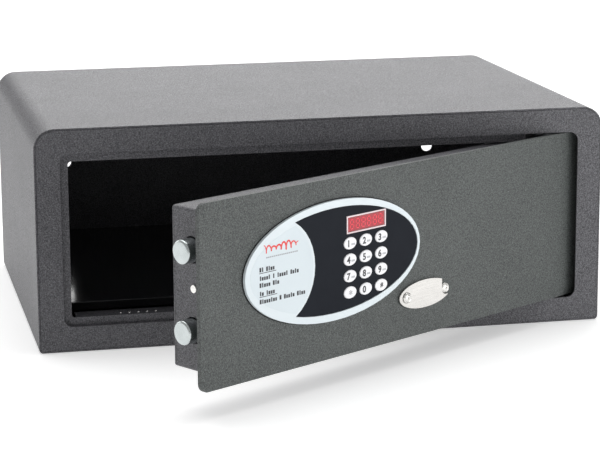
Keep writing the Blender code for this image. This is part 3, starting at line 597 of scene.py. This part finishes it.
def make_screw_pattern():
    """A pan head with a cross recess, cut by two crossed blades."""
    screw = pattern_piece(turned_shape(PAN_HEAD_PROFILE, 28), "screw_pattern", bright_steel)
    blades = bmesh.new()
    blade_length, blade_height, blade_width = 0.0030, 0.0016, 0.0006
    for turn in (0, 90):
        made = bmesh.ops.create_cube(blades, size=1.0)["verts"]
        bmesh.ops.scale(blades, vec=(blade_length, blade_height, blade_width), verts=made)
        bmesh.ops.translate(blades, vec=(0, blade_height, 0), verts=made)
        bmesh.ops.rotate(blades, matrix=Matrix.Rotation(math.radians(turn), 3, "Y"), verts=made)
    cutter = pattern_piece(blades, "recess_cutter", bright_steel)
    for helper in (screw, cutter):
        bpy.context.scene.collection.objects.link(helper)
    recess = screw.modifiers.new("recess", "BOOLEAN")
    recess.object, recess.solver, recess.operation, recess.use_self = cutter, "EXACT", "DIFFERENCE", True
    finished = worked_out(screw)
    screw.modifiers.clear()
    screw.data = finished
    bpy.data.objects.remove(cutter)
    bpy.context.scene.collection.objects.unlink(screw)
    return screw


screw = make_screw_pattern()
rear_face = 0.0428
screw_columns, screw_rows = (0.0163, 0.22075, 0.4252), (0.0422, 0.1628)
screw_places = [on_door(x, rear_face, z) for x in screw_columns for z in screw_rows]
screws = grown(
    "rear_cover_screws",
    fasteners,
    screw_places,
    {"Fastener": screw, "Material": bright_steel},
    [("facing", "FLOAT_VECTOR", [tuple(inward)] * len(screw_places))],
)
settle(screws, "door", "bright_steel")
bpy.data.objects.remove(screw)
bpy.data.objects.remove(rivet)

# ---------------------------------------------------------------------------------------
# The bolts and their drive: two turned and polished 20 mm bars with faced ends, screwed
# to a plated carrier whose rack is driven by a brass gear and the motor's brass pinion.
# ---------------------------------------------------------------------------------------


def make_turning_group():
    tree, given, out = new_group("lathe_turning", {"Pitch": 0.35, "Depth": 0.6}, ("Shade", "Height"))
    radius = add_node(tree, "ShaderNodeAttribute", attribute_name="turning").outputs["Fac"]
    place = object_place(tree)
    stain = noise(tree, place, 90.0, 4.0, 0.6)
    turns = math_node(tree, "MULTIPLY", radius, per_size(tree, given["Pitch"]))
    ridges = math_node(tree, "SINE", math_node(tree, "MULTIPLY", turns, math.tau))
    soft = stretch(tree, ridges, -1.0, 1.0)
    weight = math_node(tree, "MULTIPLY", given["Depth"], 0.3)
    shade = math_node(tree, "MULTIPLY_ADD", soft, weight, stain, clamp=True)
    tree.links.new(shade, out["Shade"])
    tree.links.new(math_node(tree, "MULTIPLY", soft, given["Depth"]), out["Height"])
    return tree


turning = make_turning_group()
bolt_steel = coated(
    "turned_steel",
    turning,
    {"Pitch": 0.5, "Depth": 0.6},
    (0.42, 0.46, 0.46),
    (0.60, 0.64, 0.64),
    (0.30, 0.18),
    0.00001,
    metallic=1.0,
)
reach, bolt_depth, spacing, bolt_middle = 0.002, 0.020, 0.0656, 0.1028
BOLT_PROFILE = (
    (0.0, 0.0),
    (0.002, 0.0),
    (0.004, 0.0),
    (0.006, 0.0),
    (0.0078, 0.0),
    (0.0086, 0.0001),
    (0.0094, 0.0005),
    (0.0098, 0.0010),
    (0.0100, 0.0018),
    (0.0100, 0.0300),
    (0.0100, 0.0614),
    (0.0094, 0.0620),
    (0.0029, 0.0620),
    (0.0027, 0.0610),
    (0.0026, 0.0500),
    (0.0, 0.0490),
)


def door_piece(name, shape, material, place, body, slot, *replaced, sharp=40.0):
    """A piece whose shape is drawn about the origin, set at this place on the door."""
    piece = bpy.data.objects.new(name, as_mesh(shape, name, material, sharp))
    piece.data.transform(door_place @ Matrix.Translation(place))
    return settle(piece, body, slot, *replaced)


for end, side in (("upper", 1), ("lower", -1)):
    bar = turned_shape(BOLT_PROFILE, 56, axis="X")
    place = (-reach, bolt_depth, bolt_middle + side * spacing / 2)
    door_piece(f"bolt_{end}_bar", bar, bolt_steel, place, "bolts", "bright_steel", f"bolt_{end}")
    broken_edges(f"bolt_screw_{end}", zinc, 0.0003)

brass = coated(
    "machined_brass",
    hairlines,
    {"Line Width": 0.2, "Line Length": 3.0, "Wear": 0.5},
    (0.52, 0.36, 0.14),
    (0.80, 0.60, 0.28),
    (0.38, 0.22),
    0.00001,
    metallic=1.0,
)
for node in ("bolt_guide", "bolt_carrier", "motor_bracket", "lock_motor"):
    broken_edges(node, zinc, 0.0002)
for node in ("drive_gear", "motor_pinion"):
    broken_edges(node, brass, 0.00012)
for node in ("gear_post", "guide_post"):
    broken_edges(node, bright_steel, 0.0002)

# ---------------------------------------------------------------------------------------
# The keypad's mouldings: a satin silver-white oval bezel, the blue-black panel inside it
# and the leaf-shaped label on its left, with a thin dark ring of painted shade under the bezel's rim.
# ---------------------------------------------------------------------------------------

silver_plastic = coated(
    "silver_moulding",
    moulded_grain,
    {"Grain Size": 0.35, "Scuffing": 0.15},
    (0.55, 0.605, 0.635),
    (0.68, 0.745, 0.775),
    (0.40, 0.30),
    0.00001,
)
panel_film = coated(
    "panel_film",
    moulded_grain,
    {"Grain Size": 0.3, "Scuffing": 0.35},
    (0.014, 0.017, 0.023),
    (0.008, 0.010, 0.015),
    (0.50, 0.42),
    0.00001,
    Specular_IOR_Level=0.08,
)
label_film = coated(
    "label_film",
    moulded_grain,
    {"Grain Size": 0.25, "Scuffing": 0.12},
    (0.52, 0.585, 0.615),
    (0.63, 0.70, 0.735),
    (0.45, 0.34),
    0.000006,
)
broken_edges("keypad_bezel", silver_plastic, 0.0003)


BEZEL_HALF_WIDTH, BEZEL_HALF_HEIGHT = 0.1025, 0.0508
# Margins and depths of the dark ring of painted shade round the bezel.
SHADE_RING_OUTSIDE, SHADE_RING_INSIDE = 0.0008, -0.0040
SHADE_RING_FRONT, SHADE_RING_BACK = -0.00027, -0.00003


def make_shade_ring(steps=96):
    """A flat dark oval ring under the bezel's rim: painted shade that draws the shadow line round the bezel."""
    shape = bmesh.new()
    rings = []
    for margin, depth in (
        (SHADE_RING_OUTSIDE, SHADE_RING_FRONT),
        (SHADE_RING_OUTSIDE, SHADE_RING_BACK),
        (SHADE_RING_INSIDE, SHADE_RING_BACK),
        (SHADE_RING_INSIDE, SHADE_RING_FRONT),
    ):
        ring = []
        for step in range(steps):
            angle = 2 * math.pi * step / steps
            x = (BEZEL_HALF_WIDTH + margin) * math.cos(angle)
            z = (BEZEL_HALF_HEIGHT + margin) * math.sin(angle)
            ring.append(shape.verts.new((x, depth, z)))
        rings.append(ring)
    for ring, following in zip(rings, rings[1:] + rings[:1]):
        for step in range(steps):
            after = (step + 1) % steps
            shape.faces.new((ring[step], ring[after], following[after], following[step]))
    bmesh.ops.recalc_face_normals(shape, faces=shape.faces)
    return shape


# Painted shade: a dark material for the ring that stands in for the shadow round the bezel.
bezel_shade_paint = coated(
    "bezel_shade_paint",
    moulded_grain,
    {"Grain Size": 0.4, "Scuffing": 0.4},
    (0.030, 0.030, 0.032),
    (0.012, 0.012, 0.013),
    (0.75, 0.6),
    0.00001,
    Specular_IOR_Level=0.2,
)
bezel_middle = (0.1482, 0, 0.1075)
# The dark ring of painted shade that lines the bezel's edge.
door_piece("bezel_seal", make_shade_ring(), bezel_shade_paint, bezel_middle, "door", "black_plastic")
broken_edges("keypad_panel", panel_film, 0.00012)
label = broken_edges("label_panel", label_film, 0.0001)
# The CAD's label floats in front of the bezel and is 0.4 mm thick. The film is a quarter of
# that and lies on the bezel's face.
label_face, bezel_face, cad_label_back = -0.0031, -0.0030, -0.0033
for vertex in label.data.vertices:
    depth = (door_place.inverted() @ vertex.co).y
    vertex.co += (bezel_face + 0.25 * (depth - cad_label_back) - depth) * inward

# ---------------------------------------------------------------------------------------
# The label's print: rows of upright black marks in place of words, two of them ruled, and
# above them a red flourish over a row of small grey marks, all in a thin layer of ink.
# ---------------------------------------------------------------------------------------


INK_THICKNESS, INK_LIFT = 0.00006, 0.00001


def make_print_tree():
    """One flat mark of ink on each point, as long and as tall as the point says."""
    tree, given = new_copies_tree("silk_screen_marks", [("Ink Thickness", "Float")])
    size = add_node(tree, "ShaderNodeCombineXYZ", {0: 1.0, 1: given["Ink Thickness"], 2: 1.0}).outputs[0]
    block = add_node(tree, "GeometryNodeMeshCube", {"Size": size}).outputs["Mesh"]
    length, tall = point_value(tree, "length"), point_value(tree, "tall")
    scale = add_node(tree, "ShaderNodeCombineXYZ", {0: length, 1: 1.0, 2: tall}).outputs[0]
    copy_to_places(tree, given, block, Scale=scale)
    return tree


silk_screen = make_print_tree()


def ink(name, dark, light, roughness, scuffing=0.3):
    settings = {"Grain Size": 0.3, "Scuffing": scuffing}
    return coated(name, moulded_grain, settings, dark, light, roughness, 0.000004)


black_ink = ink("black_ink", (0.06, 0.06, 0.065), (0.02, 0.02, 0.025), (0.6, 0.5), 0.5)
red_ink = ink("red_ink", (0.80, 0.16, 0.14), (0.72, 0.045, 0.04), (0.6, 0.45))
grey_ink = ink("grey_ink", (0.42, 0.43, 0.45), (0.30, 0.31, 0.33), (0.6, 0.45))


def ink_marks(name, places, lengths, talls, ink_used, body="door"):
    """Flat ink marks at these places on the door, each with its own length and height in metres."""
    marks = grown(
        name,
        silk_screen,
        places,
        {"Ink Thickness": INK_THICKNESS, "Material": ink_used},
        [("length", "FLOAT", lengths), ("tall", "FLOAT", talls)],
    )
    marks.data.transform(door_place)
    settle(marks, body, "white_plastic")


MARKS_LEFT, MARK_PITCH = 0.0612, 0.00245
MARK_LENGTHS = (0.0020, 0.0018, 0.0021, 0.0013)
LOW_MARK, HIGH_MARK = 0.0028, 0.0037
# Each row's height on the door, and the number of marks in each of its groups
ROWS = (
    (0.1136, (2, 4)),
    (0.1066, (5, 1, 5, 4)),
    (0.1009, (5, 3)),
    (0.0940, (2, 4)),
    (0.0874, (8, 1, 5, 4)),
)
ink_face = label_face - INK_LIFT
for number, (height, groups) in enumerate(ROWS):
    x, places, lengths, talls = MARKS_LEFT, [], [], []
    for group in groups:
        for mark in range(group):
            turn = (3 * mark + 5 * number + 2 * group) % 4
            tall = HIGH_MARK if mark == 0 or turn == 3 else LOW_MARK
            places.append((x + MARK_PITCH / 2, ink_face, height + (tall - LOW_MARK) / 2))
            lengths.append(MARK_LENGTHS[turn])
            talls.append(tall)
            x += MARK_PITCH
        x += MARK_PITCH
    ink_marks(f"label_row_{number + 1}", places, lengths, talls, black_ink)

rule_places = [(0.0705, ink_face, 0.1112), (0.0710, ink_face, 0.0917)]
ink_marks("label_rules", rule_places, [0.0190, 0.0195], [0.00055] * 2, black_ink)
grey_places = [(0.0698 + 0.0021 * n, ink_face, 0.1231) for n in range(17)]
ink_marks("label_grey_row", grey_places, [0.0016] * 17, [0.0010] * 17, grey_ink)


def make_flourish(steps=260, loops=7):
    """A brush stroke that runs in even loops and thins at both ends."""
    length, sway, turns = 0.0385, 0.0011, 2 * math.pi * loops
    shape = bmesh.new()
    rings = []
    for step in range(steps + 1):
        t = step / steps
        wave, lean = math.cos(turns * t), math.sin(turns * t)
        tall = 0.0031 * (0.75 + 0.35 * math.cos(3.0 * math.pi * t))
        centre = Vector((length * t + sway * lean, tall * wave))
        run = Vector((length + sway * turns * wave, -tall * turns * lean))
        side = Vector((-run.y, run.x)).normalized() * (0.00030 + 0.00048 * math.sin(math.pi * t) ** 0.5)
        front, back = label_face - 0.00003 - 0.00004 * t, label_face + 0.00003
        rings.append(
            [
                shape.verts.new((centre.x + sign * side.x, depth, centre.y + sign * side.y))
                for sign, depth in ((1, front), (-1, front), (-1, back), (1, back))
            ]
        )
    for before, after in zip(rings, rings[1:]):
        for n in range(4):
            m = (n + 1) % 4
            shape.faces.new((before[n], before[m], after[m], after[n]))
    shape.faces.new(rings[0])
    shape.faces.new(rings[-1])
    bmesh.ops.recalc_face_normals(shape, faces=shape.faces)
    return shape


flourish_start = (0.0665, 0, 0.1300)
door_piece("label_flourish", make_flourish(), red_ink, flourish_start, "door", "white_plastic")

# ---------------------------------------------------------------------------------------
# The display: a red window in a pale frame, with six seven-segment figures behind its
# face that glow faintly, and the black module that carries them.
# ---------------------------------------------------------------------------------------

red_lens = coated(
    "red_window", moulded_grain, {"Grain Size": 0.4, "Scuffing": 0.4},
    (0.30, 0.006, 0.014), (0.36, 0.008, 0.020), (0.22, 0.14), 0.000004,
    Coat_Weight=0.4, Coat_Roughness=0.08,
)
display_trim = coated(
    "display_trim", moulded_grain, {"Grain Size": 0.3, "Scuffing": 0.3},
    (0.62, 0.48, 0.50), (0.78, 0.66, 0.68), (0.45, 0.35), 0.000006,
)
glow = coated(
    "segment_glow", moulded_grain, {"Grain Size": 0.3, "Scuffing": 0.6},
    (0.55, 0.015, 0.035), (0.72, 0.03, 0.06), (0.4, 0.3), 0.000004,
    Emission_Color=(1.0, 0.02, 0.05, 1), Emission_Strength=0.12,
)
black_plastic = coated(
    "black_moulding", moulded_grain, {"Grain Size": 0.6, "Scuffing": 0.3},
    (0.04, 0.04, 0.042), (0.018, 0.018, 0.020), (0.55, 0.45), 0.00003,
)
broken_edges("display_window", red_lens, 0.0001)
broken_edges("display_frame", display_trim, 0.00015)
broken_edges("display_module", black_plastic, 0.0003)


def make_segment_tree():
    """Lays a bar along each segment's point, upright where its own turn says so."""
    inputs = [("Segment Length", "Float"), ("Segment Width", "Float")]
    tree, given = new_copies_tree("seven_segments", inputs)
    bar = add_node(tree, "GeometryNodeMeshCylinder", {"Vertices": 6, "Radius": 0.5, "Depth": 0.00006})
    angles = {0: math.radians(90), 1: point_value(tree, "turn"), 2: 0.0}
    angle = add_node(tree, "ShaderNodeCombineXYZ", angles).outputs[0]
    turn = add_node(tree, "FunctionNodeEulerToRotation", {0: angle}).outputs[0]
    sizes = {0: given["Segment Length"], 1: given["Segment Width"], 2: 1.0}
    scale = add_node(tree, "ShaderNodeCombineXYZ", sizes).outputs[0]
    copy_to_places(tree, given, bar.outputs["Mesh"], Rotation=turn, Scale=scale)
    return tree


DISPLAY_MIDDLE, DISPLAY_HEIGHT, window_front = 0.1850, 0.1350, -0.0024
FIGURE_PITCH, FIGURE_WIDTH, FIGURE_HEIGHT = 0.0068, 0.0040, 0.0076
# Each segment's place in half widths and half heights, and whether it stands upright
SEGMENTS = [(0, z, 0) for z in (1, 0, -1)] + [(x, z, 1) for z in (0.5, -0.5) for x in (-1, 1)]
places, turns = [], []
for figure in range(6):
    middle = DISPLAY_MIDDLE + (figure - 2.5) * FIGURE_PITCH
    for x, z, upright_bar in SEGMENTS:
        across_bar, up_bar = x * FIGURE_WIDTH / 2, z * FIGURE_HEIGHT / 2
        places.append((middle + across_bar, window_front - 0.00003, DISPLAY_HEIGHT + up_bar))
        turns.append(math.radians(90.0) * upright_bar)
figures = grown(
    "display_figures",
    make_segment_tree(),
    places,
    {"Segment Length": 0.0034, "Segment Width": 0.0011, "Material": glow},
    [("turn", "FLOAT", turns)],
)
figures.data.transform(door_place)
settle(figures, "door", "red_lens")

# ---------------------------------------------------------------------------------------
# The keys: twelve white oval caps with a softly rounded rim, each printed with its figure
# or sign and a few small grey ticks, standing just proud of the panel.
# ---------------------------------------------------------------------------------------

white_plastic = coated(
    "white_moulding", moulded_grain, {"Grain Size": 0.4, "Scuffing": 0.15},
    (0.66, 0.66, 0.68), (0.84, 0.84, 0.86), (0.42, 0.30), 0.000008,
)
KEY_HALVES = (0.00735, 0.00515)
key_front = -0.0033
KEY_PROFILE = (
    (-0.0040, key_front + 0.00000),
    (-0.0014, key_front + 0.00004),
    (-0.0006, key_front + 0.00016),
    (-0.0002, key_front + 0.00036),
    (0.0, key_front + 0.00070),
    (0.0, 0.0002),
    (0.0009, 0.0002),
    (0.0009, 0.0009),
    (-0.0030, 0.0009),
)


def legend(name, text, size, weight, place):
    """A figure or sign as a thin solid of black ink, its middle at this place on the door."""
    curve = bpy.data.curves.new(name, "FONT")
    curve.body, curve.size, curve.extrude, curve.offset = text, size, 0.00004, size * weight
    curve.align_x, curve.align_y = "CENTER", "CENTER"
    letters = bpy.data.objects.new(name, curve)
    bpy.context.scene.collection.objects.link(letters)
    mesh = worked_out(letters)
    bpy.data.objects.remove(letters)
    solid = bmesh.new()
    solid.from_mesh(mesh)
    bmesh.ops.remove_doubles(solid, verts=solid.verts, dist=0.000001)
    solid.to_mesh(mesh)
    solid.free()
    mesh.materials.clear()
    mesh.materials.append(black_ink)
    lows = [min(v.co[i] for v in mesh.vertices) for i in (0, 1)]
    highs = [max(v.co[i] for v in mesh.vertices) for i in (0, 1)]
    centred = Matrix.Translation((-(lows[0] + highs[0]) / 2, -(lows[1] + highs[1]) / 2, 0))
    upright_text = Matrix.Rotation(math.radians(90), 4, "X")
    mesh.transform(door_place @ Matrix.Translation(place) @ upright_text @ centred)
    return bpy.data.objects.new(name, mesh)


KEY_MIDDLE, KEY_TOP_ROW, KEY_PITCH, ROW_PITCH = 0.1842, 0.1194, 0.0187, 0.0140
KEY_NAMES = (("1", "2", "3"), ("4", "5", "6"), ("7", "8", "9"), ("star", "0", "hash"))
# Each sign's own size and weight, and those that the figures share
SIGNS = {"star": ("*", 0.0092, 0.0), "hash": ("#", 0.0056, 0.032)}
FIGURE_SIZE, FIGURE_WEIGHT, FIGURE_ASIDE = 0.0078, 0.032, -0.0024
for row, row_names in enumerate(KEY_NAMES):
    for column, name in enumerate(row_names):
        key, x, height = f"key_{name}", KEY_MIDDLE + (column - 1) * KEY_PITCH, KEY_TOP_ROW - row * ROW_PITCH
        cap = turned_shape(KEY_PROFILE, 40, KEY_HALVES)
        door_piece(f"{key}_cap", cap, white_plastic, (x, 0, height), key, "white_plastic", key, sharp=50)
        text, size, weight = SIGNS.get(name, (name, FIGURE_SIZE, FIGURE_WEIGHT))
        figure_x = x if name in SIGNS else x + FIGURE_ASIDE
        place = (figure_x, key_front - 0.00002, height)
        settle(legend(f"{key}_figure", text, size, weight, place), key, "white_plastic")
        if name not in SIGNS and name != "0":
            ticks = [(x + 0.0014 * (n + 1), key_front - INK_LIFT, height - 0.0010) for n in range(3)]
            ink_marks(f"{key}_ticks", ticks, [0.0009] * 3, [0.0017] * 3, grey_ink, key)

# ---------------------------------------------------------------------------------------
# The circuit board behind the keys: green glass-fibre laminate under a solder mask, held
# between the keys' stems and the door plate.
# ---------------------------------------------------------------------------------------

board_green = coated(
    "solder_mask", hairlines, {"Line Width": 1.2, "Line Length": 9.0, "Wear": 0.2},
    (0.010, 0.075, 0.028), (0.024, 0.16, 0.06), (0.42, 0.26), 0.00003,
)
broken_edges("circuit_board", board_green, 0.00015)

# ---------------------------------------------------------------------------------------
# The key override: an oval plate of polished stainless steel that turns on its left-hand
# screw, domed tamper-proof screws with a turned ring, and behind it the brass cylinder.
# ---------------------------------------------------------------------------------------

cover_steel = coated(
    "polished_cover", hairlines, {"Line Width": 0.35, "Line Length": 30.0, "Wear": 0.12},
    (0.58, 0.565, 0.545), (0.70, 0.685, 0.66), (0.30, 0.22), 0.000006, metallic=1.0,
)
broken_edges("override_cover", cover_steel, 0.00035, 3)
SCREW_DOME = (
    (0.0, -0.0009),
    (0.0006, -0.0009),
    (0.0009, -0.0019),
    (0.0022, -0.0018),
    (0.0031, -0.0015),
    (0.0033, -0.0012),
    (0.0036, -0.0012),
    (0.0038, -0.0014),
    (0.0044, -0.0010),
    (0.0048, -0.0004),
    (0.0048, 0.0),
    (0.0022, 0.0),
    (0.0022, 0.0070),
    (0.0, 0.0080),
)
OVERRIDE_HEIGHT = 0.0600
for name, x, seat in (("cover_pivot_screw", 0.2355, -0.0023), ("cover_lock_screw", 0.2857, -0.0003)):
    dome, place = turned_shape(SCREW_DOME, 36), (x, seat, OVERRIDE_HEIGHT)
    door_piece(f"{name}_domed", dome, bright_steel, place, "door", "bright_steel", name, sharp=50)
for node, finish in (("lock_body", zinc), ("lock_nut", zinc), ("lock_plug", brass), ("lock_cam", zinc)):
    broken_edges(node, finish, 0.0002)

# ---------------------------------------------------------------------------------------
# The batteries and the reset button on the door's inner side: a black moulded holder with
# a ribbed sliding cover, four sleeved cells, and a small red button.
# ---------------------------------------------------------------------------------------

battery_sleeve = coated(
    "battery_sleeve", moulded_grain, {"Grain Size": 0.5, "Scuffing": 0.4},
    (0.10, 0.13, 0.26), (0.04, 0.06, 0.18), (0.35, 0.25), 0.000006,
)
red_plastic = coated(
    "red_moulding", moulded_grain, {"Grain Size": 0.5, "Scuffing": 0.3},
    (0.42, 0.02, 0.02), (0.60, 0.03, 0.03), (0.45, 0.32), 0.00001,
)
broken_edges("battery_holder", black_plastic, 0.0002)
broken_edges("battery_pack", battery_sleeve, 0.0002)
broken_edges("battery_cover", black_plastic, 0.0003)
broken_edges("reset_button", red_plastic, 0.0004, 3)
